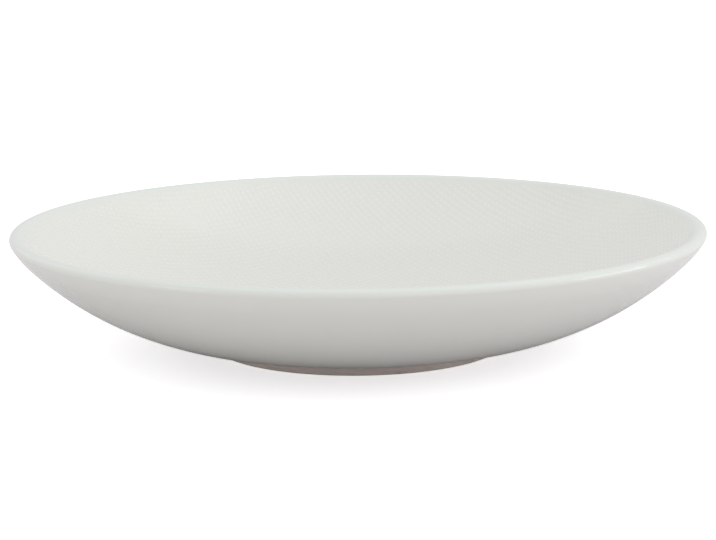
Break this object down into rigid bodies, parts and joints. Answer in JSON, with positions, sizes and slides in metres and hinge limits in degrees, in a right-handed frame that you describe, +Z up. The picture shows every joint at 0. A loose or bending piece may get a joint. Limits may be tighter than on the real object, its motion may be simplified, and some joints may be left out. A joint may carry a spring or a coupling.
{
  "type": "soup plate",
  "caption": "Deep round coupe soup plate in white glazed porcelain, with a rounded lip, a finely embossed well and a low foot ring.",
  "frame": {"origin": "on the table, at the middle of the foot ring", "axes": "+Z up along the plate's axis of revolution; X and Y level, with no preferred direction"},
  "size_m": [0.22, 0.22, 0.039],
  "materials": {
    "bare_porcelain": "fired, unglazed, fine matt",
    "glaze": "clear gloss glaze over warm white porcelain"
  },
  "bodies": {
    "root": {"porcelain_body": "bare_porcelain", "glaze_coat": "glaze", "base_glaze": "glaze"}
  },
  "joints": []
}
